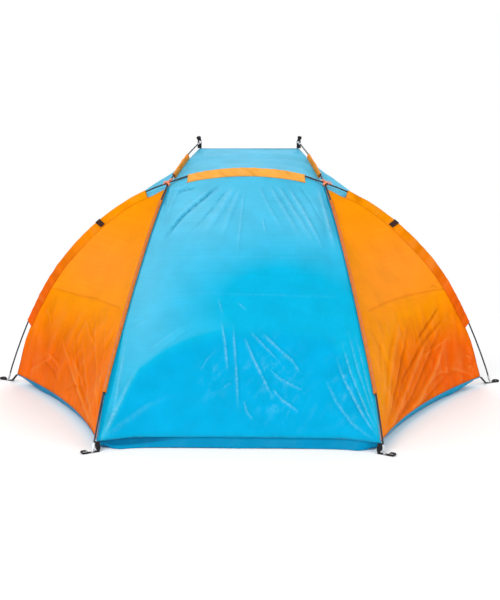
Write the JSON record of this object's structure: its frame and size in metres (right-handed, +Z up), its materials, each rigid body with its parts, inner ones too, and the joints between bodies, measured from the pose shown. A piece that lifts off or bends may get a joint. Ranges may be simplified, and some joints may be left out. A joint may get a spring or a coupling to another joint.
{
  "type": "beach tent",
  "caption": "Open-fronted beach shelter with crossed fibreglass poles in sleeves, a floor, an awning and folding peg loops at its feet.",
  "frame": {"origin": "centre of the footprint on the ground", "axes": "+Z up, the open front faces -Y, +X to a sitter's left when looking out of the front"},
  "size_m": [2.2868, 1.44, 1.1015],
  "materials": {
    "blue_cloth": "thin satin coated polyester cloth, light comes through",
    "orange_cloth": "thin satin coated polyester cloth, light comes through",
    "floor_sheet": "woven polyethylene sheet, slightly shiny",
    "webbing": "woven black tape",
    "tie_ribbon": "narrow woven ribbon",
    "fibreglass": "smooth dark fibreglass tube",
    "steel": "plain turned tube",
    "elastic": "covered elastic cord"
  },
  "bodies": {
    "tent": {"arch_pole_section_1": "fibreglass", "arch_pole_section_2": "fibreglass", "arch_pole_section_3": "fibreglass", "arch_pole_section_4": "fibreglass", "arch_pole_section_5": "fibreglass", "arch_pole_section_6": "fibreglass", "arch_pole_ferrule_1": "steel", "arch_pole_ferrule_2": "steel", "arch_pole_ferrule_3": "steel", "arch_pole_ferrule_4": "steel", "arch_pole_ferrule_5": "steel", "arch_pole_start_cap": "steel", "arch_pole_end_cap": "steel", "arch_pole_shock_cord": "elastic", "left_pole_section_1": "fibreglass", "left_pole_section_2": "fibreglass", "left_pole_section_3": "fibreglass", "left_pole_ferrule_1": "steel", "left_pole_ferrule_2": "steel", "left_pole_start_cap": "steel", "left_pole_end_cap": "steel", "left_pole_shock_cord": "elastic", "right_pole_section_1": "fibreglass", "right_pole_section_2": "fibreglass", "right_pole_section_3": "fibreglass", "right_pole_ferrule_1": "steel", "right_pole_ferrule_2": "steel", "right_pole_start_cap": "steel", "right_pole_end_cap": "steel", "right_pole_shock_cord": "elastic", "rear_panel": "blue_cloth", "awning": "blue_cloth", "floor": "floor_sheet", "centre_sleeve": "orange_cloth", "left_side_panel": "orange_cloth", "left_inner_pocket": "orange_cloth", "left_side_sleeve": "orange_cloth", "left_band": "webbing", "left_seam_sleeve": "orange_cloth", "left_awning_sleeve": "orange_cloth", "left_crossing_tie": "tie_ribbon", "left_rear_foot_strap": "webbing", "left_side_foot_strap": "webbing", "left_tip_strap": "webbing", "right_side_panel": "orange_cloth", "right_inner_pocket": "orange_cloth", "right_side_sleeve": "orange_cloth", "right_band": "webbing", "right_seam_sleeve": "orange_cloth", "right_awning_sleeve": "orange_cloth", "right_crossing_tie": "tie_ribbon", "right_rear_foot_strap": "webbing", "right_side_foot_strap": "webbing", "right_tip_strap": "webbing"},
    "right_rear_peg_loop": {"right_rear_peg_loop": "webbing"},
    "left_rear_peg_loop": {"left_rear_peg_loop": "webbing"},
    "right_side_peg_loop": {"right_side_peg_loop": "webbing"},
    "left_side_peg_loop": {"left_side_peg_loop": "webbing"}
  },
  "joints": [
    {"name": "right_rear_peg_loop_fold", "type": "hinge", "parent": "tent", "child": "right_rear_peg_loop", "pos_m": [0.5468, 0.694, 0.00153], "axis": [0.5408, -0.8412, 0], "range_deg": [0, 90]},
    {"name": "left_rear_peg_loop_fold", "type": "hinge", "parent": "tent", "child": "left_rear_peg_loop", "pos_m": [-0.5468, 0.694, 0.00153], "axis": [0.5408, 0.8412, 0], "range_deg": [0, 90]},
    {"name": "right_side_peg_loop_fold", "type": "hinge", "parent": "tent", "child": "right_side_peg_loop", "pos_m": [1.11015, -0.46802, 0.00153], "axis": [-0.4907, -0.8713, 0], "range_deg": [0, 90]},
    {"name": "left_side_peg_loop_fold", "type": "hinge", "parent": "tent", "child": "left_side_peg_loop", "pos_m": [-1.11015, -0.46802, 0.00153], "axis": [-0.4907, 0.8713, 0], "range_deg": [0, 90]}
  ]
}
